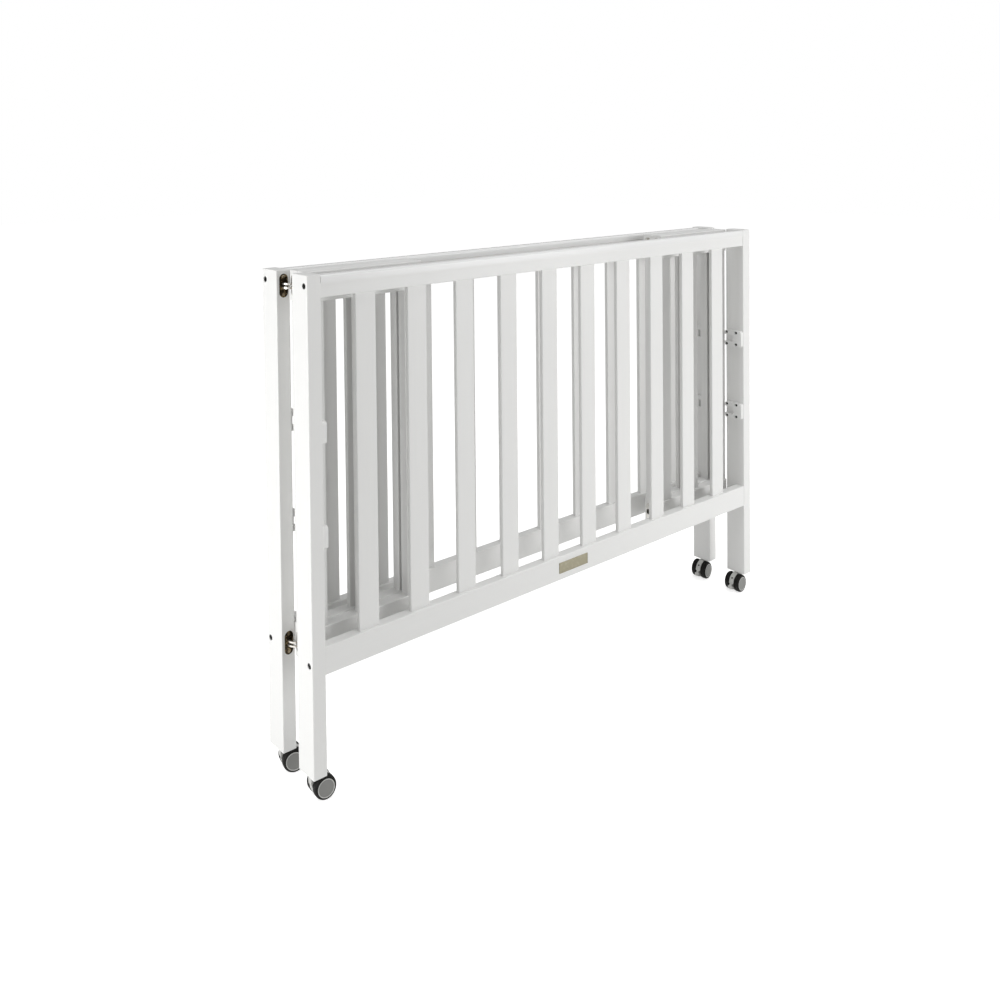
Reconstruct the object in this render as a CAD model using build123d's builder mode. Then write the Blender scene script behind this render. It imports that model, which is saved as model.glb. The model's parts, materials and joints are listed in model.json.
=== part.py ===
from build123d import *
import os

os.makedirs("parts", exist_ok=True)

# Whole crib, folded flat
length = 1328.0
depth = 140.0
height = 900.0
caster_height = 45.0

# Posts of the two side frames
post_width = 28.0
post_depth = 46.0
post_round = 1.6

# Rails of the side frames, measured from the outer face inwards
top_rail_height = 36.5
top_rail_inset = 1.5
top_rail_thick = 17.6
bottom_rail_bottom = 217.0
bottom_rail_height = 49.0
bottom_rail_inset = 0.8
bottom_rail_thick = 19.2
rail_round = 1.5

# White plastic cover that clips over the top rail
cover_wall = 1.5
cover_round = 4.7
cover_top_gap = 1.5
cover_height = 13.0
cover_end_gap = 0.5

# Slats of the side frames
slat_count = 10
slat_width = 45.0
slat_pitch = 119.0
slat_thick = 8.0
slat_inset = 7.0
slat_round = 1.5
tenon_length = 10.0

# Half panels that fold between the side frames
panel_width = 266.0
panel_thick = 23.0
fold_gap = 0.5
panel_bottom = 212.0
panel_top_gap = 1.0
panel_bottom_rail_height = 60.5
panel_top_rail_height = 53.0
hinge_stile_width = 40.0
meeting_stile_width = 41.0
stile_thick = 18.0
stile_round = 1.5

# Concealed hinges, two on each fold line
low_hinge_rise = 27.0
high_hinge_drop = 26.5
leaf_width = 18.0
leaf_height = 42.0
leaf_thick = 2.0
leaf_offset = 13.0
leaf_screw_offset = 15.5
leaf_screw_radius = 1.7
cup_width = 17.4
cup_height = 22.0
cup_depth = 17.0

# Curved bars of the post hinges
bar_inner_radius = 11.5
bar_outer_radius = 15.5
bar_half_angle = 53.0
bar_middle_angle = 135.0
bar_turn = 45.0
bar_height = 3.0
bar_spacing = 7.0
bar_clearance = 0.3
bar_end_clearance = 2.0

# Crossing links of the hinges between half panels
mid_leaf_offset = 12.0
link_pin_depth = 6.0
link_pin_offset = 8.0
link_pin_radius = 1.25
link_bore_clearance = 0.05
link_boss_radius = 2.6
link_width = 3.0
link_tip_depth = 2.0
link_tip_offset = 9.0
link_bulge = 3.2
outer_link_height = 2.6
outer_link_spacing = 6.4
centre_link_height = 3.0
link_cavity_offset = 11.6
link_cavity_width = 15.4
link_cavity_height = 12.0
link_cavity_depth = 14.5

# Bolts that hold the rails between the posts
low_bolt_rise = 21.0
high_bolt_drop = 15.5
bolt_inset = 9.5
bolt_radius = 3.0
bolt_length = 62.0
bolt_head_radius = 4.9
bolt_head_height = 5.0
bolt_head_depth = 6.0
bolt_socket_width = 4.0
bolt_socket_depth = 3.0
bolt_clearance = 0.3

# Plastic brackets that carry a mattress base
bracket_heights = (451.0, 630.5)
bracket_start = 1.0
bracket_width = 43.0
bracket_height = 38.5
bracket_thick = 9.5
bracket_round = 5.0
bracket_screws = (14.6, 39.0)
bracket_screw_rise = 14.5
bracket_screw_radius = 1.8
bracket_head_radius = 3.4
bracket_head_depth = 3.0
bracket_slot_start = 22.7
bracket_slot_height = 17.0
bracket_slot_depth = 7.0

# Casters
wheel_radius = 21.0
wheel_width = 12.0
wheel_gap = 12.2
wheel_shoulder = 4.5
hub_radius = 16.0
hub_recess = 1.0
hub_face_thick = 2.5
wheel_edge = 1.0
axle_end_gap = 0.3
axle_radius = 3.0
axle_clearance = 0.05
trail = 16.0
band_width = 11.0
band_radius = 20.0
hood_long_step = 16.0
hood_short_step = 10.0
band_top_gap = 0.3
boss_half = 6.5
boss_bottom = 26.0
stem_grip_radius = 5.0
stem_grip_length = 38.0
stem_collar_radius = 8.0
stem_collar_height = 1.5
stem_pin_radius = 3.2
stem_pin_length = 14.0
stem_clearance = 0.05
lever_pivot_reach = 12.5
lever_pivot_height = 26.0
lever_pin_radius = 1.5
lever_boss_radius = 3.4
lever_root = 2.38
lever_swing = 15.0
lever_clearance = 0.06
lever_width = 5.4
lever_slot_gap = 0.3
pedal_width = 10.4
pedal_reach = 26.0
pedal_top = 17.0
pedal_bottom = 9.0
pedal_length = 7.0
pedal_round = 1.5
pedal_notch_width = 13.0
pedal_notch_top = 21.0
front_caster_turn = {"left": -7.0, "right": 182.0}
back_caster_turn = {"left": -16.0, "right": 186.0}

# Faces that several pieces share
outer_x = length / 2
fold_x = outer_x - post_width
outer_y = depth / 2
fold_y = outer_y - post_depth
mid_x = fold_x - panel_width
post_centre_x = outer_x - post_width / 2
post_centre_y = outer_y - post_depth / 2
cover_top = height - cover_top_gap
top_rail_top = cover_top - cover_wall
top_rail_bottom = top_rail_top - top_rail_height
cover_skirt_bottom = cover_top - cover_height
bottom_rail_top = bottom_rail_bottom + bottom_rail_height
panel_centre_y = fold_y - fold_gap - panel_thick / 2
panel_top = height - panel_top_gap
panel_bottom_rail_top = panel_bottom + panel_bottom_rail_height
panel_top_rail_bottom = panel_top - panel_top_rail_height
hinge_heights = (panel_bottom + low_hinge_rise, panel_top - high_hinge_drop)
bolt_heights = (bottom_rail_bottom + low_bolt_rise, top_rail_top - high_bolt_drop)
collar_bottom = caster_height - stem_collar_height
band_top = collar_bottom - band_top_gap

sides = {"front": -1, "back": 1}
ends = {"left": -1, "right": 1}


def save(part, name):
    """Label one finished sub-part and write it to its own file."""
    part.label = name
    export_step(part, f"parts/{name}.step")


def at_corner(master, end, side):
    """Mirror a front left piece to another corner of the crib."""
    with BuildPart() as placed:
        add(master)
        if end > 0:
            mirror(about=Plane.YZ, mode=Mode.REPLACE)
        if side > 0:
            mirror(about=Plane.XZ, mode=Mode.REPLACE)
    return placed.part


def both_ends(master, side):
    """Join a front left piece with its mirror image at the right end."""
    with BuildPart() as placed:
        add(master)
        mirror(about=Plane.YZ)
        if side > 0:
            mirror(about=Plane.XZ, mode=Mode.REPLACE)
    return placed.part


def post_face(z):
    """Plane on the post's folding face, at the fold line, x away from the fold."""
    return Plane(origin=(-fold_x, -fold_y, z), x_dir=(-1, 0, 0), z_dir=(0, 1, 0))


def hinge_end_face(z):
    """Plane on the half panel's hinge end, at the fold line, x into the thickness."""
    origin = (-fold_x + fold_gap, -fold_y, z)
    return Plane(origin=origin, x_dir=(0, 1, 0), z_dir=(-1, 0, 0))


def meeting_end_face(z):
    """Plane on the half panel's meeting end, at the middle fold line."""
    origin = (-mid_x - fold_gap, 0, z)
    return Plane(origin=origin, x_dir=(0, -1, 0), z_dir=(1, 0, 0))


def cup_outline(face, offset):
    """Solid of one hinge cup: a leaf with round ends and the cup body behind it."""
    with BuildPart() as outline:
        with BuildSketch(face):
            with Locations((offset, 0)):
                SlotOverall(leaf_height, leaf_width, rotation=90)
        extrude(amount=-leaf_thick)
        with BuildSketch(face.offset(-leaf_thick)):
            with Locations((offset, 0)):
                Rectangle(cup_width, cup_height)
        extrude(amount=leaf_thick - cup_depth)
    return outline.part


def ring_sector(inner, outer, start, size):
    """Sketch of a slice of a ring about the sketch's origin."""
    with BuildSketch(Plane.XY) as slice_sketch:
        with BuildLine():
            far = CenterArc((0, 0), outer, start, size)
            near = CenterArc((0, 0), inner, start, size)
            Line(far @ 0, near @ 0)
            Line(far @ 1, near @ 1)
        make_face()
    return slice_sketch.sketch


def hinge_bars(height_each, inner, outer, half_angle):
    """Two curved bars about the front left fold line, one above the other."""
    start = bar_middle_angle - half_angle
    with BuildPart() as bars:
        for z in hinge_heights:
            for rise in (-bar_spacing / 2, bar_spacing / 2):
                base = Plane(origin=(-fold_x, -fold_y, z + rise - height_each / 2))
                with BuildSketch(base):
                    add(ring_sector(inner, outer, start, 2 * half_angle))
                extrude(amount=height_each)
    return bars.part


def bar_grooves():
    """The room that the curved bars sweep through as the post hinges turn."""
    return hinge_bars(
        bar_height + 2 * bar_clearance,
        bar_inner_radius - bar_clearance,
        bar_outer_radius + bar_clearance,
        bar_half_angle + bar_turn + bar_end_clearance,
    )


def leaf_screw_holes(face, offset):
    """Countersunk screw holes at both ends of a leaf, as a solid to cut."""
    with BuildPart() as holes:
        for rise in (-leaf_screw_offset, leaf_screw_offset):
            with BuildSketch(face):
                with Locations((offset, rise)):
                    Circle(leaf_screw_radius)
            extrude(amount=-leaf_thick)
    return holes.part


def post_hinge_cups():
    """The cups let into one front left post, one near each rail."""
    with BuildPart() as cups:
        for z in hinge_heights:
            add(cup_outline(post_face(z), leaf_offset))
            add(leaf_screw_holes(post_face(z), leaf_offset), mode=Mode.SUBTRACT)
        add(bar_grooves(), mode=Mode.SUBTRACT)
    return cups.part


def link_cavity(face):
    """Hollow of a middle hinge cup, in which both sets of links swing."""
    with BuildPart() as cavity:
        with BuildSketch(face):
            with Locations((link_cavity_offset, 0)):
                Rectangle(link_cavity_width, link_cavity_height)
        extrude(amount=-link_cavity_depth)
    return cavity.part


def link_pin(z, radius, pin_height):
    """Upright pin that the front half panel's own link turns on."""
    centre = (-mid_x - link_pin_depth, -link_pin_offset)
    with BuildPart() as pin:
        with BuildSketch(Plane.XY.offset(z - pin_height / 2)):
            with Locations(centre):
                Circle(radius)
        extrude(amount=pin_height)
    return pin.part


def panel_hinge_cups():
    """The four cups let into the ends of the front left half panel."""
    with BuildPart() as cups:
        for z in hinge_heights:
            add(cup_outline(hinge_end_face(z), leaf_offset))
            add(leaf_screw_holes(hinge_end_face(z), leaf_offset), mode=Mode.SUBTRACT)
        add(bar_grooves(), mode=Mode.SUBTRACT)
        for z in hinge_heights:
            add(cup_outline(meeting_end_face(z), mid_leaf_offset))
            add(leaf_screw_holes(meeting_end_face(z), mid_leaf_offset), mode=Mode.SUBTRACT)
            add(link_cavity(meeting_end_face(z)), mode=Mode.SUBTRACT)
            add(link_pin(z, link_pin_radius, link_cavity_height))
    return cups.part


def link_outline():
    """Sketch of one middle link, pinned in the front half at the left end."""
    pin = (-mid_x - link_pin_depth, -link_pin_offset)
    bulge = (-mid_x + link_bulge, 0.0)
    tip = (-mid_x - link_tip_depth, link_tip_offset)
    with BuildSketch(Plane.XY) as outline:
        with BuildLine():
            ThreePointArc(pin, bulge, tip)
        trace(line_width=link_width)
        with Locations(tip):
            Circle(link_width / 2)
        with Locations(pin):
            Circle(link_boss_radius)
            Circle(link_pin_radius + link_bore_clearance, mode=Mode.SUBTRACT)
    return outline.sketch


def middle_links(rises, link_height):
    """Middle links of the front left half panel, at both hinges."""
    with BuildPart() as links:
        for z in hinge_heights:
            for rise in rises:
                with BuildSketch(Plane.XY.offset(z + rise - link_height / 2)):
                    add(link_outline())
                extrude(amount=link_height)
    return links.part


def bolt_face(z):
    """Plane on the outer end face of the front left post, facing outwards."""
    origin = (-outer_x, -outer_y + bolt_inset, z)
    return Plane(origin=origin, x_dir=(0, -1, 0), z_dir=(-1, 0, 0))


def post():
    """Front left post with its bolt holes, hinge pockets and stem socket."""
    with BuildPart() as piece:
        with BuildSketch(Plane.XY.offset(caster_height)):
            with Locations((-post_centre_x, -post_centre_y)):
                RectangleRounded(post_width, post_depth, post_round)
        extrude(amount=height - caster_height)
        fillet(piece.faces().sort_by(Axis.Z)[-1].edges(), post_round / 2)
        for z in bolt_heights:
            with Locations(bolt_face(z)):
                CounterBoreHole(
                    radius=bolt_radius + bolt_clearance,
                    counter_bore_radius=bolt_head_radius + bolt_clearance,
                    counter_bore_depth=bolt_head_depth,
                    depth=post_width,
                )
        for z in hinge_heights:
            add(cup_outline(post_face(z), leaf_offset), mode=Mode.SUBTRACT)
        with BuildSketch(Plane.XY.offset(caster_height)):
            with Locations((-post_centre_x, -post_centre_y)):
                Circle(stem_grip_radius)
        extrude(amount=stem_grip_length, mode=Mode.SUBTRACT)
    return piece.part


def bolts():
    """Socket head bolts through the front left post, one for each rail."""
    with BuildPart() as group:
        for z in bolt_heights:
            seat = bolt_face(z).offset(-bolt_head_depth)
            with BuildSketch(seat):
                Circle(bolt_head_radius)
            extrude(amount=bolt_head_height)
            with BuildSketch(seat):
                Circle(bolt_radius)
            extrude(amount=-bolt_length)
            with BuildSketch(seat.offset(bolt_head_height)):
                RegularPolygon(bolt_socket_width / 2, 6)
            extrude(amount=-bolt_socket_depth, mode=Mode.SUBTRACT)
    return group.part


def slat_sketch_places():
    """Centres of the side frame's slats along the length."""
    y = -outer_y + slat_inset + slat_thick / 2
    start = -(slat_count - 1) * slat_pitch / 2
    return [(start + index * slat_pitch, y) for index in range(slat_count)]


def front_slats():
    """The row of slats of the front side frame, with tenons in both rails."""
    bottom = bottom_rail_top - tenon_length
    with BuildPart() as row:
        with BuildSketch(Plane.XY.offset(bottom)):
            with Locations(slat_sketch_places()):
                RectangleRounded(slat_width, slat_thick, slat_round)
        extrude(amount=top_rail_bottom + tenon_length - bottom)
    return row.part


def rail_profile(inset, thick, bottom, top, low_round, high_round):
    """Cross-section of a front rail, drawn on the plane across the length."""
    with BuildSketch(Plane.YZ.offset(-fold_x)) as profile:
        with Locations((-outer_y + inset + thick / 2, (bottom + top) / 2)):
            Rectangle(thick, top - bottom)
        fillet(profile.vertices().group_by(Axis.Y)[-1], high_round)
        fillet(profile.vertices().group_by(Axis.Y)[0], low_round)
    return profile.sketch


def rail_bolt_holes(z):
    """Bores in both ends of a rail that take the bolts' threads."""
    reach = bolt_head_depth + bolt_length
    with BuildPart() as bores:
        with BuildSketch(bolt_face(z)):
            Circle(bolt_radius)
        extrude(amount=-reach)
        mirror(about=Plane.YZ)
    return bores.part


def top_rail():
    """Front top rail with slat mortises below and bolt bores in its ends."""
    with BuildPart() as rail:
        add(rail_profile(top_rail_inset, top_rail_thick, top_rail_bottom, top_rail_top,
                         rail_round, cover_round - cover_wall))
        extrude(amount=2 * fold_x, dir=(1, 0, 0))
        add(front_slats(), mode=Mode.SUBTRACT)
        add(rail_bolt_holes(bolt_heights[1]), mode=Mode.SUBTRACT)
    return rail.part


def bottom_rail():
    """Front bottom rail with slat mortises above and bolt bores in its ends."""
    with BuildPart() as rail:
        add(rail_profile(bottom_rail_inset, bottom_rail_thick, bottom_rail_bottom,
                         bottom_rail_top, rail_round, rail_round))
        extrude(amount=2 * fold_x, dir=(1, 0, 0))
        add(front_slats(), mode=Mode.SUBTRACT)
        add(rail_bolt_holes(bolt_heights[0]), mode=Mode.SUBTRACT)
    return rail.part


def cover():
    """Plastic channel that wraps the upper part of the front top rail."""
    run = fold_x - cover_end_gap
    thick = top_rail_thick + 2 * cover_wall
    centre_y = -outer_y + top_rail_inset + top_rail_thick / 2
    with BuildPart() as channel:
        with BuildSketch(Plane.YZ.offset(-run)) as outside:
            with Locations((centre_y, (cover_skirt_bottom + cover_top) / 2)):
                Rectangle(thick, cover_top - cover_skirt_bottom)
            fillet(outside.vertices().group_by(Axis.Y)[-1], cover_round)
        extrude(amount=2 * run)
        with BuildSketch(Plane.YZ.offset(-run)) as inside:
            with Locations((centre_y, (cover_skirt_bottom + top_rail_top) / 2)):
                Rectangle(top_rail_thick, top_rail_top - cover_skirt_bottom)
            fillet(inside.vertices().group_by(Axis.Y)[-1], cover_round - cover_wall)
        extrude(amount=2 * run, mode=Mode.SUBTRACT)
    return channel.part


def brackets():
    """Plastic brackets on the inner face of the front left post."""
    face_x = -fold_x + bracket_thick
    with BuildPart() as pair:
        for z in bracket_heights:
            start_y = -outer_y + bracket_start
            plate = Plane(origin=(-fold_x, start_y, z), x_dir=(0, 1, 0), z_dir=(1, 0, 0))
            with BuildSketch(plate):
                with Locations((bracket_width / 2, 0)):
                    RectangleRounded(bracket_width, bracket_height, bracket_round)
            extrude(amount=bracket_thick)
            slot_width = bracket_width + bracket_start - bracket_slot_start
            with BuildSketch(plate.offset(bracket_thick)):
                with Locations((bracket_width - slot_width / 2, 0)):
                    Rectangle(slot_width, bracket_slot_height)
            extrude(amount=-bracket_slot_depth, mode=Mode.SUBTRACT)
            face = Plane(origin=(face_x, -outer_y, z), x_dir=(0, 1, 0), z_dir=(1, 0, 0))
            places = [(y, rise) for y in bracket_screws
                      for rise in (-bracket_screw_rise, bracket_screw_rise)]
            with BuildSketch(face):
                with Locations(places):
                    Circle(bracket_head_radius)
            extrude(amount=-bracket_head_depth, mode=Mode.SUBTRACT)
            with BuildSketch(face):
                with Locations(places):
                    Circle(bracket_screw_radius)
            extrude(amount=-bracket_thick, mode=Mode.SUBTRACT)
    return pair.part


def caster_stem():
    """Stem pressed into the front left post, with the pin that the caster turns on."""
    with BuildPart() as stem:
        with BuildSketch(Plane.XY.offset(caster_height)):
            with Locations((-post_centre_x, -post_centre_y)):
                Circle(stem_grip_radius)
        extrude(amount=stem_grip_length)
        with BuildSketch(Plane.XY.offset(caster_height)):
            with Locations((-post_centre_x, -post_centre_y)):
                Circle(stem_collar_radius)
        extrude(amount=-stem_collar_height)
        with BuildSketch(Plane.XY.offset(collar_bottom)):
            with Locations((-post_centre_x, -post_centre_y)):
                Circle(stem_pin_radius)
        extrude(amount=-stem_pin_length)
    return stem.part


def panel_rails():
    """Top and bottom rail of the front left half panel."""
    x_size = panel_width - 2 * fold_gap
    centre = (-fold_x + fold_gap + x_size / 2, -panel_centre_y)
    with BuildPart() as rails:
        spans = ((panel_bottom, panel_bottom_rail_height),
                 (panel_top_rail_bottom, panel_top_rail_height))
        for bottom, rail_height in spans:
            with BuildSketch(Plane.XY.offset(bottom)):
                with Locations(centre):
                    Rectangle(x_size, panel_thick)
            extrude(amount=rail_height)
        fillet(rails.edges().filter_by(Axis.X), rail_round)
        for z in hinge_heights:
            add(cup_outline(hinge_end_face(z), leaf_offset), mode=Mode.SUBTRACT)
            add(cup_outline(meeting_end_face(z), mid_leaf_offset), mode=Mode.SUBTRACT)
        add(panel_slat(), mode=Mode.SUBTRACT)
    return rails.part


def panel_stiles():
    """Hinge stile and meeting stile between the rails of the front left half panel."""
    hinge_x = -fold_x + fold_gap + hinge_stile_width / 2
    meeting_x = -mid_x - fold_gap - meeting_stile_width / 2
    with BuildPart() as stiles:
        with BuildSketch(Plane.XY.offset(panel_bottom_rail_top)):
            with Locations((hinge_x, -panel_centre_y)):
                RectangleRounded(hinge_stile_width, stile_thick, stile_round)
            with Locations((meeting_x, -panel_centre_y)):
                RectangleRounded(meeting_stile_width, stile_thick, stile_round)
        extrude(amount=panel_top_rail_bottom - panel_bottom_rail_top)
    return stiles.part


def panel_slat():
    """Centre slat of the front left half panel, with tenons in both rails."""
    window_start = -fold_x + fold_gap + hinge_stile_width
    window_end = -mid_x - fold_gap - meeting_stile_width
    bottom = panel_bottom_rail_top - tenon_length
    with BuildPart() as slat:
        with BuildSketch(Plane.XY.offset(bottom)):
            with Locations(((window_start + window_end) / 2, -panel_centre_y)):
                RectangleRounded(slat_width, slat_thick, slat_round)
        extrude(amount=panel_top_rail_bottom + tenon_length - bottom)
    return slat.part


def lever_arm():
    """Outline of the brake lever about its pin, seen along the axle."""
    tip = pedal_reach - lever_pivot_reach
    top = pedal_top - lever_pivot_height
    bottom = pedal_bottom - lever_pivot_height
    with BuildSketch(Plane.XY) as outline:
        Circle(lever_boss_radius)
        with BuildLine():
            Polyline(
                (-lever_root, -lever_root),
                (lever_root, lever_root),
                (tip - pedal_round, top),
                (tip - pedal_length, bottom + pedal_round),
                close=True,
            )
        make_face()
    return outline.sketch


def pedal_head():
    """Outline of the lever's wide end, about the same pin."""
    tip = pedal_reach - lever_pivot_reach
    top = pedal_top - lever_pivot_height
    bottom = pedal_bottom - lever_pivot_height
    with BuildSketch(Plane.XY) as outline:
        with BuildLine():
            Polyline(
                (tip - pedal_length, top - pedal_round),
                (tip - pedal_round, top),
                (tip, top - pedal_round),
                (tip, bottom + pedal_round),
                (tip - pedal_round, bottom),
                (tip - pedal_length, bottom + pedal_round),
                close=True,
            )
        make_face()
    return outline.sketch


def caster_housing():
    """Hood between the wheels, with the stem boss, the axle and the lever's pin."""
    pivot = (trail + lever_pivot_reach, lever_pivot_height)
    lever_room = lever_width + 2 * lever_slot_gap
    with BuildPart() as hood:
        with BuildSketch(Plane.XZ.offset(-band_width / 2)):
            with Locations((trail, wheel_radius)):
                Circle(band_radius)
            with BuildLine():
                Polyline(
                    (-boss_half, band_top),
                    (-boss_half, boss_bottom),
                    (trail - hood_long_step, wheel_radius - hood_short_step),
                    (trail, wheel_radius),
                    (trail + hood_short_step, wheel_radius + hood_long_step),
                    (trail, band_top),
                    close=True,
                )
            make_face()
        extrude(amount=band_width)
        with BuildSketch(Plane.XY.offset(band_top)):
            Circle(stem_pin_radius + stem_clearance)
        extrude(amount=-stem_pin_length, mode=Mode.SUBTRACT)
        for swing in (0.0, lever_swing / 2, lever_swing):
            with BuildSketch(Plane.XZ.offset(-lever_room / 2)):
                with Locations(Location((*pivot, 0), (0, 0, -swing))):
                    add(lever_arm())
                    add(pedal_head())
                offset(amount=lever_slot_gap, kind=Kind.INTERSECTION)
            extrude(amount=lever_room, mode=Mode.SUBTRACT)
        with BuildSketch(Plane.XZ.offset(-band_width / 2)):
            with Locations((trail + pedal_reach - pedal_notch_width / 2, 0)):
                Rectangle(pedal_notch_width, pedal_notch_top, align=(Align.CENTER, Align.MIN))
        extrude(amount=band_width, mode=Mode.SUBTRACT)
        reach = wheel_gap / 2 + wheel_width - hub_recess - hub_face_thick - axle_end_gap
        with BuildSketch(Plane.XZ.offset(-reach)):
            with Locations((trail, wheel_radius)):
                Circle(axle_radius)
        extrude(amount=2 * reach)
        with BuildSketch(Plane.XZ.offset(-band_width / 2)):
            with Locations(pivot):
                Circle(lever_pin_radius)
        extrude(amount=band_width)
    return hood.part


def caster_wheel():
    """Wheel with a rounded shoulder and a sunken hub face, about the Y axis."""
    start = wheel_gap / 2
    end = start + wheel_width
    bore = axle_radius + axle_clearance
    hub_face = end - hub_recess
    with BuildPart() as wheel:
        with BuildSketch(Plane.XY):
            with BuildLine():
                Polyline(
                    (bore, hub_face - hub_face_thick),
                    (bore, start),
                    (wheel_radius - wheel_edge, start),
                    (wheel_radius, start + wheel_edge),
                    (wheel_radius, end - wheel_shoulder),
                )
                CenterArc((wheel_radius - wheel_shoulder, end - wheel_shoulder),
                          wheel_shoulder, 0, 90)
                Polyline(
                    (wheel_radius - wheel_shoulder, end),
                    (hub_radius, end),
                    (hub_radius - hub_recess, hub_face),
                    (0, hub_face),
                    (0, hub_face - hub_face_thick),
                    (bore, hub_face - hub_face_thick),
                )
            make_face()
        revolve(axis=Axis.Y)
    return wheel.part


def brake_lever():
    """Pedal that swings on its pin inside the hood."""
    pivot = (trail + lever_pivot_reach, lever_pivot_height)
    with BuildPart() as lever:
        with BuildSketch(Plane.XZ.offset(-lever_width / 2)):
            with Locations(pivot):
                add(lever_arm())
        extrude(amount=lever_width)
        with BuildSketch(Plane.XZ.offset(-pedal_width / 2)):
            with Locations(pivot):
                add(pedal_head())
        extrude(amount=pedal_width)
        with BuildSketch(Plane.XZ.offset(-lever_width / 2)):
            with Locations(pivot):
                Circle(lever_pin_radius + lever_clearance)
        extrude(amount=lever_width, mode=Mode.SUBTRACT)
    return lever.part


def at_stem(master, end, side, turn):
    """Stand a caster piece under its post, turned to the angle it rests at."""
    spot = Location((end * post_centre_x, side * post_centre_y, 0), (0, 0, turn))
    with BuildPart() as placed:
        with Locations(spot):
            add(master)
    return placed.part


def wheel_on_axle(side_of_hood):
    """One wheel of a pair, on the +Y or the -Y side of the hood."""
    with BuildPart() as placed:
        with Locations((trail, 0, wheel_radius)):
            add(caster_wheel())
        if side_of_hood < 0:
            mirror(about=Plane.XZ, mode=Mode.REPLACE)
    return placed.part


# Side frames
for side_name, side in sides.items():
    with BuildPart() as slats:
        add(front_slats())
        if side > 0:
            mirror(about=Plane.XZ, mode=Mode.REPLACE)
    save(slats.part, f"{side_name}_slats")
    for end_name, end in ends.items():
        save(at_corner(post(), end, side), f"{side_name}_{end_name}_post")
    save(at_corner(top_rail(), 0, side), f"{side_name}_top_rail")
    save(at_corner(bottom_rail(), 0, side), f"{side_name}_bottom_rail")
    save(at_corner(cover(), 0, side), f"{side_name}_rail_cover")
    save(both_ends(post_hinge_cups(), side), f"{side_name}_post_hinge_cups")
    save(both_ends(brackets(), side), f"{side_name}_brackets")
    save(both_ends(bolts(), side), f"{side_name}_bolts")
    save(both_ends(caster_stem(), side), f"{side_name}_caster_stems")

# Half panels with their hinges
outer_rises = (-outer_link_spacing / 2, outer_link_spacing / 2)
own_links = {
    "front": middle_links((0.0,), centre_link_height),
    "back": middle_links(outer_rises, outer_link_height),
}
post_bars = hinge_bars(bar_height, bar_inner_radius, bar_outer_radius, bar_half_angle)
for side_name, side in sides.items():
    for end_name, end in ends.items():
        corner = f"{side_name}_{end_name}"
        save(at_corner(panel_rails(), end, side), f"{corner}_panel_rails")
        save(at_corner(panel_stiles(), end, side), f"{corner}_panel_stiles")
        save(at_corner(panel_slat(), end, side), f"{corner}_panel_slat")
        save(at_corner(panel_hinge_cups(), end, side), f"{corner}_panel_hinge_cups")
        save(at_corner(post_bars, end, side), f"{corner}_post_hinge_bars")
        save(at_corner(own_links[side_name], end, side), f"{corner}_middle_links")

# Casters
caster_turns = {"front": front_caster_turn, "back": back_caster_turn}
for side_name, side in sides.items():
    for end_name, end in ends.items():
        turn = caster_turns[side_name][end_name]
        corner = f"{side_name}_{end_name}_caster"
        save(at_stem(caster_housing(), end, side, turn), f"{corner}_housing")
        save(at_stem(wheel_on_axle(1), end, side, turn), f"{corner}_left_wheel")
        save(at_stem(wheel_on_axle(-1), end, side, turn), f"{corner}_right_wheel")
        save(at_stem(brake_lever(), end, side, turn), f"{corner}_brake_lever")
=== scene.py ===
import json
import logging
import math
from dataclasses import dataclass, field
from enum import Enum
from typing import Any, Iterable

import bmesh
import bpy
from mathutils import Matrix, Vector


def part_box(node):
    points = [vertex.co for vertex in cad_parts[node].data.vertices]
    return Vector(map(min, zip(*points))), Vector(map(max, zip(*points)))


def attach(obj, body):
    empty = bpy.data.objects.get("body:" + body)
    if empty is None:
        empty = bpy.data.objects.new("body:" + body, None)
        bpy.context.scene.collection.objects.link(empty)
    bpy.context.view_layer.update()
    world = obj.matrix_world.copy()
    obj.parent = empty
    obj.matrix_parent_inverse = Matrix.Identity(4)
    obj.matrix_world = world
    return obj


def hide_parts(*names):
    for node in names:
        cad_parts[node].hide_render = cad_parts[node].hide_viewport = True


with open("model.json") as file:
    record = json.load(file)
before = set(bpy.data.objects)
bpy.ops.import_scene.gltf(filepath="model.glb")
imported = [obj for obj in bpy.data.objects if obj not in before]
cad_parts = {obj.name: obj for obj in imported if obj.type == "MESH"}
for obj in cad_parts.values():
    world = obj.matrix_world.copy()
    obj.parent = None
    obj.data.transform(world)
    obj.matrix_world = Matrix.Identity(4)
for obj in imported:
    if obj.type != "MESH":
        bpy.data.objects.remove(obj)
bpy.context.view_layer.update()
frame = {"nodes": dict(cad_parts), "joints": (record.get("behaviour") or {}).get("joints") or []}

IMAGE_SIZE = 1000
MM = 0.001
SIDES = ("front", "back")
ENDS = ("left", "right")
SMOOTH_ANGLE = 0.6
MERGE_DISTANCE = 1e-6
PLAIN = (1.0, 1.0, 1.0)
WHITE = (1.0, 1.0, 1.0)
MIX_COLOUR_LOW = 6
MIX_COLOUR_HIGH = 7
MIX_COLOUR_RESULT = 2
ALONG_X = Vector((1.0, 0.0, 0.0))
ALONG_Y = Vector((0.0, 1.0, 0.0))
UPWARD = Vector((0.0, 0.0, 1.0))

log = logging.getLogger("crib")


class Grain(Enum):
    """Direction that the wood grain runs under the lacquer."""

    UPRIGHT = (70.0, 70.0, 3.0)
    ALONG = (3.0, 70.0, 70.0)


class Wheel(Enum):
    """Which wheel of a pair, by its side of the hood."""

    LEFT = 1
    RIGHT = -1


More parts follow.
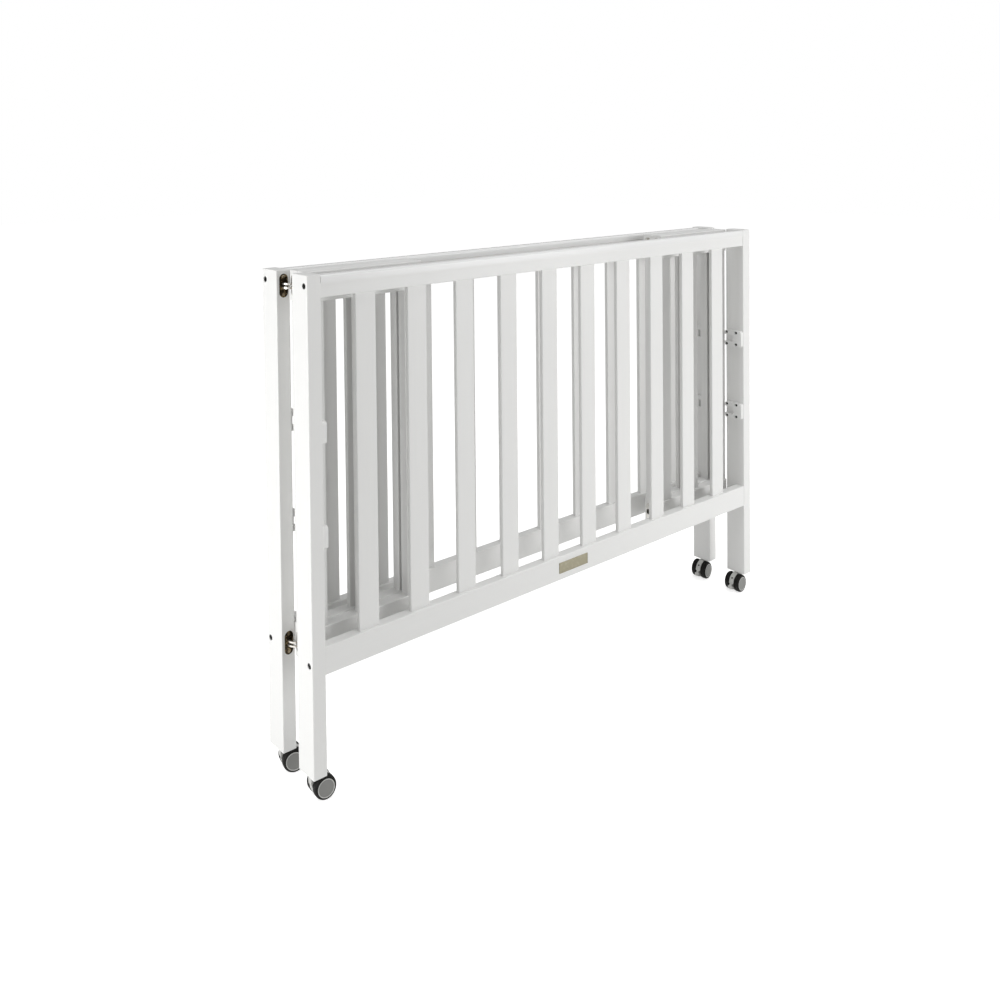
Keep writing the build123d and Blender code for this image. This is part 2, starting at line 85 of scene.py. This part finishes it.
class Term:
    """A shader value that Python's operators can do maths on."""

    def __init__(self, graph: "Graph", socket: Any) -> None:
        """Keep the graph and the socket or number that the term stands for."""
        self.graph = graph
        self.socket = socket

    def _math(self, operation: str, left: Any, right: Any) -> "Term":
        """Add one Math node.

        Args:
            operation: the node's operation.
            left: first term or number.
            right: second term or number.

        Returns:
            The node's result.
        """
        return self.graph.node("ShaderNodeMath", {"operation": operation}, {0: left, 1: right})

    def __add__(self, other: Any) -> "Term":
        """Sum of two terms."""
        return self._math("ADD", self, other)

    def __radd__(self, other: Any) -> "Term":
        """Sum with a number on the left."""
        return self._math("ADD", other, self)

    def __mul__(self, other: Any) -> "Term":
        """Product of two terms."""
        return self._math("MULTIPLY", self, other)

    def __gt__(self, other: Any) -> "Term":
        """One where the term is greater than the other."""
        return self._math("GREATER_THAN", self, other)


class Graph:
    """Node tree of one material, built from plain calls."""

    def __init__(self, name: str) -> None:
        """Make an empty material called name."""
        self.material = bpy.data.materials.new(name)
        self.material.use_nodes = True
        self.tree = self.material.node_tree
        self.tree.nodes.clear()

    def node(self, kind: str, settings: dict[str, Any], values: dict[Any, Any],
             output: Any = 0) -> Term:
        """Add one node.

        Args:
            kind: the node's type name.
            settings: its own settings by name.
            values: numbers, colours or terms for its input sockets.
            output: name or number of the output to return.

        Returns:
            The chosen output as a term.
        """
        made = self.tree.nodes.new(kind)
        for key, value in settings.items():
            setattr(made, key, value)
        for key, value in values.items():
            socket = made.inputs[key]
            if isinstance(value, Term):
                self.tree.links.new(value.socket, socket)
            elif isinstance(value, tuple) and len(value) == 3 and socket.type == "RGBA":
                socket.default_value = (*value, 1.0)
            else:
                socket.default_value = value
        return Term(self, made.outputs[output])

    def place(self, scale: tuple[float, float, float]) -> Term:
        """Object coordinates stretched by scale."""
        where = self.node("ShaderNodeTexCoord", {}, {}, "Object")
        return self.node("ShaderNodeMapping", {}, {"Vector": where, "Scale": scale})

    def noise(self, scale: tuple[float, float, float], size: float, detail: float) -> Term:
        """Noise of the given size over stretched object coordinates."""
        return self.node("ShaderNodeTexNoise", {}, {
            "Vector": self.place(scale), "Scale": size, "Detail": detail,
        })

    def tint(self, mask: Term, low: Any, high: Any) -> Term:
        """Colour that goes from low to high with a mask."""
        return self.node("ShaderNodeMix", {"data_type": "RGBA"}, {
            "Factor": mask, MIX_COLOUR_LOW: low, MIX_COLOUR_HIGH: high,
        }, MIX_COLOUR_RESULT)

    def bump(self, height: Term, distance: float) -> Term:
        """Normal shaken by a height in metres times distance."""
        return self.node("ShaderNodeBump", {}, {
            "Height": height, "Distance": distance, "Strength": 1.0,
        })

    def surface(self, **values: Any) -> bpy.types.Material:
        """Close the graph with a Principled shader.

        Args:
            values: input sockets, with underscores for spaces.

        Returns:
            The finished material.
        """
        inputs = {key.replace("_", " "): value for key, value in values.items()}
        shader = self.node("ShaderNodeBsdfPrincipled", {}, inputs)
        self.node_output(shader)
        return self.material

    def node_output(self, shader: Term) -> None:
        """Join a shader to the material's output."""
        end = self.tree.nodes.new("ShaderNodeOutputMaterial")
        self.tree.links.new(shader.socket, end.inputs["Surface"])


@dataclass(frozen=True)
class Lacquer:
    """White lacquer on beech, with a trace of grain under it."""

    grain: Grain
    light: tuple[float, float, float] = (0.865, 0.865, 0.855)
    shade: tuple[float, float, float] = (0.835, 0.835, 0.822)
    roughness: float = 0.34

    def material(self) -> bpy.types.Material:
        """Build the lacquer's material."""
        graph = Graph(f"white_lacquer_{self.grain.name.lower()}")
        streaks = graph.noise(self.grain.value, 4.0, 5.0)
        cloud = graph.noise(PLAIN, 9.0, 3.0)
        colour = graph.tint(streaks * 0.7 + cloud * 0.3, self.shade, self.light)
        rough = self.roughness + cloud * 0.12
        orange_peel = graph.noise(PLAIN, 900.0, 1.0)
        relief = streaks + orange_peel * 0.35
        return graph.surface(
            Base_Color=colour, Roughness=rough, Normal=graph.bump(relief, 0.00006),
            Coat_Weight=0.25, Coat_Roughness=0.2, IOR=1.46,
        )


@dataclass(frozen=True)
class Moulding:
    """Moulded plastic with fine speckle and a little texture."""

    name: str
    colour: tuple[float, float, float]
    speckle: float
    roughness: float
    texture: float

    def material(self) -> bpy.types.Material:
        """Build the plastic's material."""
        graph = Graph(self.name)
        grit = graph.noise(PLAIN, 1800.0, 2.0)
        haze = graph.noise(PLAIN, 30.0, 3.0)
        dark = tuple(part * (1.0 - self.speckle) for part in self.colour)
        colour = graph.tint(grit * 0.5 + haze * 0.5, dark, self.colour)
        return graph.surface(
            Base_Color=colour, Roughness=self.roughness + haze * 0.1,
            Normal=graph.bump(grit, self.texture),
        )


@dataclass(frozen=True)
class Metal:
    """Metal with brushed or cast variation and worn high spots."""

    name: str
    colour: tuple[float, float, float]
    worn: tuple[float, float, float]
    roughness: float
    brushed: tuple[float, float, float]

    def material(self) -> bpy.types.Material:
        """Build the metal's material."""
        graph = Graph(self.name)
        lines = graph.noise(self.brushed, 40.0, 6.0)
        patches = graph.noise(PLAIN, 160.0, 3.0)
        colour = graph.tint((patches * 0.6 + lines * 0.4) > 0.56, self.colour, self.worn)
        return graph.surface(
            Base_Color=colour, Metallic=0.9, Roughness=self.roughness + lines * 0.18,
            Normal=graph.bump(lines, 0.00004),
        )


@dataclass(frozen=True)
class HingeMetal:
    """Aged bronze on the post hinges and bright nickel on the middle ones."""

    name: str = "hinge_metal"
    bronze: tuple[float, float, float] = (0.035, 0.026, 0.015)
    worn: tuple[float, float, float] = (0.24, 0.18, 0.10)
    nickel: tuple[float, float, float] = (0.62, 0.61, 0.58)
    middle_reach: float = 0.5

    def material(self) -> bpy.types.Material:
        """Build the metal's material."""
        graph = Graph(self.name)
        patches = graph.noise(PLAIN, 160.0, 3.0)
        where = graph.node("ShaderNodeTexCoord", {}, {}, "Object")
        across = graph.node("ShaderNodeSeparateXYZ", {}, {"Vector": where}, "X")
        size = graph.node("ShaderNodeMath", {"operation": "ABSOLUTE"}, {0: across})
        post = size > self.middle_reach
        aged = graph.tint(patches > 0.56, self.bronze, self.worn)
        return graph.surface(
            Base_Color=graph.tint(post, self.nickel, aged), Metallic=0.9,
            Roughness=0.34 + patches * 0.18, Normal=graph.bump(patches, 0.00004),
        )


@dataclass(frozen=True)
class Tread:
    """Black tyre rubber, dusty in places."""

    name: str = "tyre_rubber"
    black: tuple[float, float, float] = (0.006, 0.006, 0.006)
    dust: tuple[float, float, float] = (0.022, 0.021, 0.019)

    def material(self) -> bpy.types.Material:
        """Build the rubber's material."""
        graph = Graph(self.name)
        scuffs = graph.noise(PLAIN, 260.0, 4.0)
        film = graph.noise(PLAIN, 60.0, 2.0)
        colour = graph.tint(scuffs * film * 1.6, self.black, self.dust)
        return graph.surface(
            Base_Color=colour, Roughness=0.46 + scuffs * 0.2, Normal=graph.bump(scuffs, 0.00008),
            Specular_IOR_Level=0.12,
        )


class Finishes:
    """Every finish on the crib, made once and shared by its pieces."""

    def __init__(self) -> None:
        """Build all the materials."""
        self.upright = Lacquer(Grain.UPRIGHT).material()
        self.along = Lacquer(Grain.ALONG).material()
        self.cover = Moulding("white_cover", (0.89, 0.89, 0.885), 0.02, 0.2, 0.00001).material()
        self.bracket = Moulding("white_bracket", (0.87, 0.87, 0.86), 0.03, 0.32, 0.00003).material()
        self.hood = Moulding("grey_hood", (0.66, 0.66, 0.64), 0.18, 0.42, 0.00006).material()
        self.hub = Moulding("grey_hub", (0.235, 0.235, 0.225), 0.12, 0.4, 0.00004).material()
        self.ring = Moulding("hub_ring", (0.62, 0.62, 0.60), 0.08, 0.35, 0.00002).material()
        self.hinge = HingeMetal().material()
        self.screw = Metal("screw_bronze", (0.26, 0.21, 0.14), (0.66, 0.58, 0.45),
                           0.3, (1.0, 1.0, 1.0)).material()
        self.steel = Metal("bright_steel", (0.66, 0.63, 0.58), (0.80, 0.78, 0.74),
                           0.2, (60.0, 60.0, 4.0)).material()
        self.black_steel = Metal("black_steel", (0.02, 0.02, 0.02), (0.10, 0.10, 0.10),
                                 0.4, (1.0, 1.0, 1.0)).material()
        self.plate = Metal("plate_alloy", (0.27, 0.25, 0.18), (0.31, 0.29, 0.215),
                           0.34, (4.0, 60.0, 90.0)).material()
        self.tyre = Tread().material()


@dataclass
class Builder:
    """Turns bmeshes into pieces that ride with a body of the frame."""

    finishes: Finishes

    def dress(self, node: str, material: bpy.types.Material) -> None:
        """Give a node of the frame its finish."""
        mesh = frame["nodes"][node].data
        mesh.materials.clear()
        mesh.materials.append(material)
        log.info("dressed %s", node)

    def piece(self, name: str, shape: bmesh.types.BMesh, body: str,
              material: bpy.types.Material, replaces: Iterable[str] = ()) -> bpy.types.Object:
        """Finish a bmesh as one piece.

        Args:
            name: the piece's name.
            shape: its mesh, already in place.
            body: the body that it rides with.
            material: its finish.
            replaces: nodes of the frame that it stands for.

        Returns:
            The new object.
        """
        bmesh.ops.recalc_face_normals(shape, faces=shape.faces)
        for edge in shape.edges:
            edge.smooth = len(edge.link_faces) == 2 and edge.calc_face_angle(0.0) < SMOOTH_ANGLE
        for face in shape.faces:
            face.smooth = True
        mesh = bpy.data.meshes.new(name)
        shape.to_mesh(mesh)
        shape.free()
        mesh.materials.append(material)
        made = bpy.data.objects.new(name, mesh)
        bpy.context.scene.collection.objects.link(made)
        for node in replaces:
            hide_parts(node)
        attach(made, body)
        log.info("made %s on %s", name, body)
        return made


def axes_to_place(origin: Vector, x_axis: Vector, z_axis: Vector) -> Matrix:
    """Matrix that lays a local drawing at a place.

    Args:
        origin: where the drawing's origin goes.
        x_axis: direction of its x.
        z_axis: direction of its z.

    Returns:
        The placing matrix.
    """
    z_unit = z_axis.normalized()
    x_unit = x_axis.normalized()
    y_unit = z_unit.cross(x_unit)
    turn = Matrix((x_unit, y_unit, z_unit)).transposed().to_4x4()
    return Matrix.Translation(origin) @ turn


def turned(profile: list[tuple[float, float]], steps: int, place: Matrix) -> bmesh.types.BMesh:
    """Spin a profile about the local z axis.

    Args:
        profile: radius and height of each point.
        steps: number of facets round the axis.
        place: where the turned shape goes.

    Returns:
        The closed shape.
    """
    shape = bmesh.new()
    points = [shape.verts.new((radius, 0.0, rise)) for radius, rise in profile]
    edges = [shape.edges.new(pair) for pair in zip(points, points[1:])]
    bmesh.ops.spin(shape, geom=points + edges, cent=(0, 0, 0), axis=(0, 0, 1),
                   angle=math.tau, steps=steps, use_merge=True, use_duplicate=False)
    bmesh.ops.remove_doubles(shape, verts=shape.verts, dist=MERGE_DISTANCE)
    bmesh.ops.transform(shape, matrix=place, verts=shape.verts)
    return shape


@dataclass
class ScrewHead:
    """Small countersunk head with a round-bottomed socket."""

    radius: float = 3.1 * MM
    rise: float = 0.15 * MM
    depth: float = 1.2 * MM
    socket_radius: float = 1.3 * MM
    facets: int = 20

    def shape(self, places: list[Matrix]) -> bmesh.types.BMesh:
        """Build one head at each place.

        Args:
            places: matrices whose z axis leaves the surface.

        Returns:
            All the heads in one mesh.
        """
        profile = [
            (0.0, -self.depth), (self.radius * 0.55, -self.depth), (self.radius, -0.15 * MM),
            (self.radius * 0.94, self.rise * 0.6), (self.radius * 0.62, self.rise),
            (self.socket_radius, self.rise), (self.socket_radius * 0.9, -self.depth * 0.6),
            (0.0, -self.depth * 0.7),
        ]
        whole = bmesh.new()
        for place in places:
            head = turned(profile, self.facets, place)
            mesh = bpy.data.meshes.new("head")
            head.to_mesh(mesh)
            head.free()
            whole.from_mesh(mesh)
            bpy.data.meshes.remove(mesh)
        return whole


@dataclass(frozen=True)
class Leaf:
    """Hinge leaf that two screws hold, one above and one below the cup."""

    half_height: float = 21.0 * MM
    half_width: float = 9.0 * MM
    screw_rise: float = 15.5 * MM

    def screw_heights(self, low: float, high: float) -> list[float]:
        """Heights of the screws in the lowest and the highest leaf.

        Args:
            low: bottom of the lowest leaf.
            high: top of the highest leaf.

        Returns:
            Four heights, from the lowest up.
        """
        return [middle + rise
                for middle in (low + self.half_height, high - self.half_height)
                for rise in (-self.screw_rise, self.screw_rise)]


@dataclass
class SideFrame:
    """One long side: posts, rails, slats, cover and their hardware."""

    side: str
    leaf: Leaf = Leaf()
    bracket_head: ScrewHead = field(default_factory=lambda: ScrewHead(
        radius=3.2 * MM, rise=0.9 * MM, depth=1.2 * MM, socket_radius=1.4 * MM))
    bracket_thick: float = 9.5 * MM
    bracket_head_depth: float = 3.0 * MM
    bracket_rise: float = 14.5 * MM
    bracket_half_height: float = 19.25 * MM
    bracket_screw_in: tuple[float, float] = (13.6 * MM, 38.0 * MM)

    @property
    def outward(self) -> float:
        """Sign of the direction that the frame's outer face looks."""
        return -1.0 if self.side == "front" else 1.0

    def dress(self, make: Builder) -> None:
        """Finish the frame's own nodes."""
        done = make.finishes
        for end in ENDS:
            make.dress(f"{self.side}_{end}_post", done.upright)
        make.dress(f"{self.side}_slats", done.upright)
        make.dress(f"{self.side}_top_rail", done.along)
        make.dress(f"{self.side}_bottom_rail", done.along)
        make.dress(f"{self.side}_rail_cover", done.cover)
        make.dress(f"{self.side}_post_hinge_cups", done.hinge)
        make.dress(f"{self.side}_brackets", done.bracket)
        make.dress(f"{self.side}_bolts", done.black_steel)
        make.dress(f"{self.side}_caster_stems", done.steel)

    def leaf_screws(self, make: Builder) -> None:
        """Add the screws that hold the hinge leaves to the posts."""
        low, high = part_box(f"{self.side}_post_hinge_cups")
        face_y = low.y if self.outward > 0 else high.y
        inward = Vector((0.0, -self.outward, 0.0))
        places = []
        for x in (low.x + self.leaf.half_width, high.x - self.leaf.half_width):
            for z in self.leaf.screw_heights(low.z, high.z):
                places.append(axes_to_place(Vector((x, face_y, z)), ALONG_X, inward))
        make.piece(f"{self.side}_post_leaf_screws", ScrewHead().shape(places),
                   f"{self.side}_side", make.finishes.screw)

    def bracket_screws(self, make: Builder) -> None:
        """Add the dark screws sunk in the mattress base brackets."""
        low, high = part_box(f"{self.side}_brackets")
        outer_y = high.y if self.outward > 0 else low.y
        places = []
        for face_x, sign in ((low.x, 1.0), (high.x, -1.0)):
            seat_x = face_x + sign * (self.bracket_thick - self.bracket_head_depth)
            for centre in (low.z + self.bracket_half_height, high.z - self.bracket_half_height):
                for inset in self.bracket_screw_in:
                    for rise in (-self.bracket_rise, self.bracket_rise):
                        y = outer_y - self.outward * inset
                        spot = Vector((seat_x, y, centre + rise))
                        places.append(axes_to_place(spot, ALONG_Y, ALONG_X * sign))
        make.piece(f"{self.side}_bracket_screws", self.bracket_head.shape(places),
                   f"{self.side}_side", make.finishes.black_steel)

    def build(self, make: Builder) -> None:
        """Dress the frame and add its screws."""
        self.dress(make)
        self.leaf_screws(make)
        self.bracket_screws(make)


@dataclass
class RailPlate:
    """Bare metal plate fixed to the middle of the front bottom rail."""

    width: float = 89.0 * MM
    height: float = 22.0 * MM
    thick: float = 0.9 * MM
    middle_height: float = 242.0 * MM
    corner: float = 1.0 * MM
    border: float = 1.3 * MM
    border_drop: float = 0.25 * MM
    rolled_share: float = 0.4
    stand_off: float = 0.05 * MM
    corner_steps: int = 4

    def build(self, make: Builder) -> None:
        """Make the plate with its rolled edge and a sunk field."""
        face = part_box("front_bottom_rail")[0].y
        shape = bmesh.new()
        bmesh.ops.create_cube(shape, size=1.0)
        bmesh.ops.scale(shape, vec=(self.width, self.height, self.thick), verts=shape.verts)
        corners = [edge for edge in shape.edges
                   if abs(edge.verts[0].co.z - edge.verts[1].co.z) > self.thick / 2]
        bmesh.ops.bevel(shape, geom=corners, offset=self.corner, segments=self.corner_steps,
                        affect="EDGES", profile=0.5, material=-1)
        front = max(shape.faces, key=lambda face: face.calc_center_median().z)
        bmesh.ops.inset_region(shape, faces=[front], thickness=self.border * self.rolled_share,
                               depth=self.border_drop)
        bmesh.ops.inset_region(shape, faces=[front], thickness=self.border, depth=0.0)
        bmesh.ops.inset_region(shape, faces=[front], thickness=self.border_drop,
                               depth=-self.border_drop)
        origin = Vector((0.0, face - self.thick / 2 + self.stand_off, self.middle_height))
        place = axes_to_place(origin, ALONG_X, -ALONG_Y)
        bmesh.ops.transform(shape, matrix=place, verts=shape.verts)
        make.piece("rail_plate", shape, "front_side", make.finishes.plate)


@dataclass
class HalfPanel:
    """One of the four framed panels that fold between the sides."""

    side: str
    end: str
    leaf: Leaf = Leaf()

    @property
    def corner(self) -> str:
        """Side and end in one word, as the nodes' names start."""
        return f"{self.side}_{self.end}"

    def dress(self, make: Builder) -> None:
        """Finish the panel's own nodes."""
        done = make.finishes
        make.dress(f"{self.corner}_panel_rails", done.along)
        make.dress(f"{self.corner}_panel_stiles", done.upright)
        make.dress(f"{self.corner}_panel_slat", done.upright)
        make.dress(f"{self.corner}_panel_hinge_cups", done.hinge)
        make.dress(f"{self.corner}_post_hinge_bars", done.steel)
        make.dress(f"{self.corner}_middle_links", done.steel)

    def leaf_screws(self, make: Builder) -> None:
        """Add the screws of the leaves in both ends of the panel."""
        low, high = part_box(f"{self.corner}_panel_hinge_cups")
        outward = -1.0 if self.side == "front" else 1.0
        to_end = -1.0 if self.end == "left" else 1.0
        outer_y = low.y if outward < 0 else high.y
        inner_y = high.y if outward < 0 else low.y
        hinge_x = low.x if to_end < 0 else high.x
        meeting_x = high.x if to_end < 0 else low.x
        faces = (
            (hinge_x, outer_y - outward * self.leaf.half_width, to_end),
            (meeting_x, inner_y + outward * self.leaf.half_width, -to_end),
        )
        places = []
        for x, y, sign in faces:
            for z in self.leaf.screw_heights(low.z, high.z):
                places.append(axes_to_place(Vector((x, y, z)), ALONG_Y, ALONG_X * sign))
        make.piece(f"{self.corner}_panel_leaf_screws", ScrewHead().shape(places),
                   f"{self.corner}_half", make.finishes.screw)

    def build(self, make: Builder) -> None:
        """Dress the panel and add its screws."""
        self.dress(make)
        self.leaf_screws(make)


@dataclass
class Caster:
    """Twin-wheel caster under one post."""

    side: str
    end: str
    wheel_radius: float = 21.0 * MM
    wheel_start: float = 6.1 * MM
    wheel_end: float = 18.1 * MM
    shoulder: float = 4.5 * MM
    hub_radius: float = 16.3 * MM
    ring_width: float = 1.5 * MM
    ring_rise: float = 0.35 * MM
    dish: float = 0.7 * MM
    bore: float = 3.1 * MM
    facets: int = 72
    dot_angle: float = 40.0
    dot_reach: float = 20.0 * MM
    dot_radius: float = 1.9 * MM
    dot_facets: int = 20
    arc_steps: int = 8
    quarter_turn: float = 90.0
    rear_round: float = 1.2 * MM
    rear_face: float = 0.3 * MM

    @property
    def corner(self) -> str:
        """Side and end in one word, as the nodes' names start."""
        return f"{self.side}_{self.end}"

    def joint(self, name: str) -> dict:
        """Joint of this caster by the end of its name."""
        return next(j for j in frame["joints"] if j["name"] == f"{self.corner}_{name}")

    def axle(self) -> tuple[Vector, Vector, Vector]:
        """Where the wheels turn.

        Returns:
            The axle's middle, its direction and the direction that the wheels trail.
        """
        roll = self.joint("left_wheel_roll")
        middle = Vector(roll["pos_m"])
        along = Vector(roll["axis"]).normalized()
        stem = Vector(self.joint("swivel")["pos_m"])
        trailing = Vector((middle.x - stem.x, middle.y - stem.y, 0.0)).normalized()
        return middle, along, trailing

    def tyre_profile(self) -> list[tuple[float, float]]:
        """Half-section of the tyre, from the hood side round to the hub."""
        radius, start, end = self.wheel_radius, self.wheel_start, self.wheel_end
        centre = (radius - self.shoulder, end - self.shoulder)
        arc = [(centre[0] + self.shoulder * math.cos(angle),
                centre[1] + self.shoulder * math.sin(angle))
               for angle in (math.radians(step * self.quarter_turn / self.arc_steps)
                             for step in range(self.arc_steps + 1))]
        inner = [(self.bore, start + self.rear_face), (radius * 0.62, start + self.rear_face),
                 (radius * 0.66, start), (radius - self.rear_round, start),
                 (radius - 0.35 * MM, start + 0.35 * MM), (radius, start + self.rear_round)]
        face = [(self.hub_radius, end - 0.3 * MM), (self.hub_radius, end - 2.5 * MM),
                (self.bore, end - 2.5 * MM), inner[0]]
        return inner + arc + face

    def hub_profile(self) -> list[tuple[float, float]]:
        """Half-section of the dished disc that closes the wheel."""
        end = self.wheel_end
        rim = self.hub_radius - self.ring_width
        return [
            (0.0, end - self.dish - 0.15 * MM), (rim * 0.35, end - self.dish),
            (rim * 0.75, end - self.dish + 0.15 * MM), (rim - 0.4 * MM, end - self.dish + 0.3 * MM),
            (rim, end - self.dish), (rim, end - 2.7 * MM), (0.0, end - 2.7 * MM),
        ]

    def ring_profile(self) -> list[tuple[float, float]]:
        """Half-section of the light ring round the disc."""
        end = self.wheel_end
        outer, inner = self.hub_radius, self.hub_radius - self.ring_width
        return [
            (inner, end - 2.6 * MM), (inner, end - 0.2 * MM), (inner + 0.3 * MM, end - 0.02 * MM),
            (outer - 0.3 * MM, end - 0.02 * MM), (outer, end - 0.25 * MM), (outer, end - 2.6 * MM),
            (inner, end - 2.6 * MM),
        ]

    def wheel(self, make: Builder, which: Wheel) -> None:
        """Make one wheel: tyre, hub disc and light ring."""
        middle, along, trailing = self.axle()
        name = f"{self.corner}_caster_{which.name.lower()}_wheel"
        body = f"{name}_body"
        place = axes_to_place(middle, trailing, along * which.value)
        done = make.finishes
        make.piece(f"{name}_tyre", turned(self.tyre_profile(), self.facets, place),
                   body, done.tyre, replaces=(name,))
        make.piece(f"{name}_hub", turned(self.hub_profile(), self.facets, place),
                   body, done.hub)
        make.piece(f"{name}_ring", turned(self.ring_profile(), self.facets, place),
                   body, done.ring)

    def hood_dot(self, make: Builder) -> None:
        """Add the dark plug in the hood's rim."""
        middle, along, trailing = self.axle()
        angle = math.radians(self.dot_angle)
        out = trailing * math.cos(angle) + UPWARD * math.sin(angle)
        profile = [(0.0, -1.0 * MM), (self.dot_radius, -1.0 * MM), (self.dot_radius, 0.15 * MM),
                   (self.dot_radius * 0.8, 0.35 * MM), (0.0, 0.4 * MM)]
        place = axes_to_place(middle + out * self.dot_reach, along, out)
        make.piece(f"{self.corner}_caster_plug", turned(profile, self.dot_facets, place),
                   f"{self.corner}_caster", make.finishes.black_steel)

    def build(self, make: Builder) -> None:
        """Dress the hood and lever, and make the wheels."""
        make.dress(f"{self.corner}_caster_housing", make.finishes.hood)
        make.dress(f"{self.corner}_caster_brake_lever", make.finishes.ring)
        for which in Wheel:
            self.wheel(make, which)
        self.hood_dot(make)


@dataclass(frozen=True)
class Lamp:
    """One soft lamp of the studio."""

    name: str
    place: tuple[float, float, float]
    target: tuple[float, float, float]
    size: tuple[float, float]
    watts: float

    def build(self) -> None:
        """Hang the lamp facing its target."""
        data = bpy.data.lights.new(self.name, "AREA")
        data.shape = "RECTANGLE"
        data.size, data.size_y = self.size
        data.energy = self.watts
        lamp = bpy.data.objects.new(self.name, data)
        lamp.location = self.place
        aim = Vector(self.target) - Vector(self.place)
        lamp.rotation_mode = "QUATERNION"
        lamp.rotation_quaternion = aim.to_track_quat("-Z", "Y")
        bpy.context.scene.collection.objects.link(lamp)


@dataclass
class Studio:
    """Pale floor, soft lamps and the camera at the photograph's angle."""

    eye: tuple[float, float, float] = (-1.5590, -1.3749, 1.1051)
    yaw: float = 0.62003
    pitch: float = 0.02444
    roll: float = 0.01402
    focal_pixels: float = 954.3
    centre_pixel: tuple[float, float] = (323.3, 175.6)
    sensor_mm: float = 36.0
    floor_half: float = 14.0
    sky_light: float = 0.39
    floor_lift: float = 0.72
    floor_colour: tuple[float, float, float] = (0.82, 0.82, 0.81)
    lamps: tuple[Lamp, ...] = (
        Lamp("left_softbox", (-2.6, 0.0, 0.6), (-0.6, 0.0, 0.5), (0.4, 1.6), 29.0),
        Lamp("front_softbox", (1.7, -2.1, 1.1), (0.5, 0.0, 0.5), (1.2, 1.2), 27.0),
        Lamp("top_softbox", (0.1, -0.3, 3.2), (0.0, 0.0, 0.5), (2.2, 1.2), 26.0),
    )

    def camera(self) -> None:
        """Set the camera from the angles that the photograph was taken at."""
        data = bpy.data.cameras.new("photo_camera")
        data.sensor_width = self.sensor_mm
        data.lens = self.sensor_mm * self.focal_pixels / IMAGE_SIZE
        data.shift_x = (IMAGE_SIZE / 2 - self.centre_pixel[0]) / IMAGE_SIZE
        data.shift_y = (self.centre_pixel[1] - IMAGE_SIZE / 2) / IMAGE_SIZE
        ahead = Vector((math.sin(self.yaw) * math.cos(self.pitch),
                        math.cos(self.yaw) * math.cos(self.pitch), -math.sin(self.pitch)))
        level = Vector((math.cos(self.yaw), -math.sin(self.yaw), 0.0))
        down = ahead.cross(level)
        right = level * math.cos(self.roll) + down * math.sin(self.roll)
        under = down * math.cos(self.roll) - level * math.sin(self.roll)
        turn = Matrix((right, -under, -ahead)).transposed()
        camera = bpy.data.objects.new("photo_camera", data)
        camera.matrix_world = Matrix.Translation(self.eye) @ turn.to_4x4()
        bpy.context.scene.collection.objects.link(camera)
        bpy.context.scene.camera = camera

    def floor(self) -> None:
        """Lay the floor, white to the camera and pale to the crib."""
        shape = bmesh.new()
        bmesh.ops.create_grid(shape, x_segments=1, y_segments=1, size=self.floor_half)
        mesh = bpy.data.meshes.new("studio_floor")
        shape.to_mesh(mesh)
        shape.free()
        plane = bpy.data.objects.new("studio_floor", mesh)
        bpy.context.scene.collection.objects.link(plane)
        graph = Graph("pale_floor")
        seen = graph.node("ShaderNodeLightPath", {}, {}, "Is Camera Ray")
        gloss = graph.node("ShaderNodeLightPath", {}, {}, "Is Glossy Ray")
        clear = graph.node("ShaderNodeLightPath", {}, {}, "Is Transmission Ray")
        paper = graph.node("ShaderNodeBsdfDiffuse", {}, {"Color": self.floor_colour})
        glow = graph.node("ShaderNodeEmission", {}, {
            "Color": WHITE, "Strength": (seen + gloss + clear) * self.floor_lift,
        })
        both = graph.node("ShaderNodeAddShader", {}, {0: paper, 1: glow})
        graph.node_output(both)
        mesh.materials.append(graph.material)

    def sky(self) -> None:
        """Set a soft even sky that the camera sees as white."""
        world = bpy.data.worlds.new("studio_sky")
        bpy.context.scene.world = world
        world.use_nodes = True
        tree = world.node_tree
        tree.nodes.clear()
        path = tree.nodes.new("ShaderNodeLightPath")
        total = tree.nodes.new("ShaderNodeMath")
        total.operation = "MAXIMUM"
        tree.links.new(path.outputs["Is Camera Ray"], total.inputs[0])
        tree.links.new(path.outputs["Is Transmission Ray"], total.inputs[1])
        mixed = tree.nodes.new("ShaderNodeMix")
        tree.links.new(total.outputs[0], mixed.inputs["Factor"])
        mixed.inputs["A"].default_value = self.sky_light
        mixed.inputs["B"].default_value = 1.0
        back = tree.nodes.new("ShaderNodeBackground")
        back.inputs["Color"].default_value = (*WHITE, 1.0)
        tree.links.new(mixed.outputs[0], back.inputs["Strength"])
        end = tree.nodes.new("ShaderNodeOutputWorld")
        tree.links.new(back.outputs[0], end.inputs["Surface"])

    def build(self) -> None:
        """Set up everything that isn't part of the crib."""
        self.camera()
        self.floor()
        self.sky()
        for lamp in self.lamps:
            lamp.build()
        bpy.context.scene.view_settings.view_transform = "Standard"


def main() -> None:
    """Build the crib's sub-assemblies in order, then the studio."""
    logging.basicConfig(level=logging.INFO, format="%(message)s")
    make = Builder(Finishes())
    for side in SIDES:
        SideFrame(side).build(make)
    RailPlate().build(make)
    for side in SIDES:
        for end in ENDS:
            HalfPanel(side, end).build(make)
            Caster(side, end).build(make)
    Studio().build()


if __name__ == "__main__":
    main()
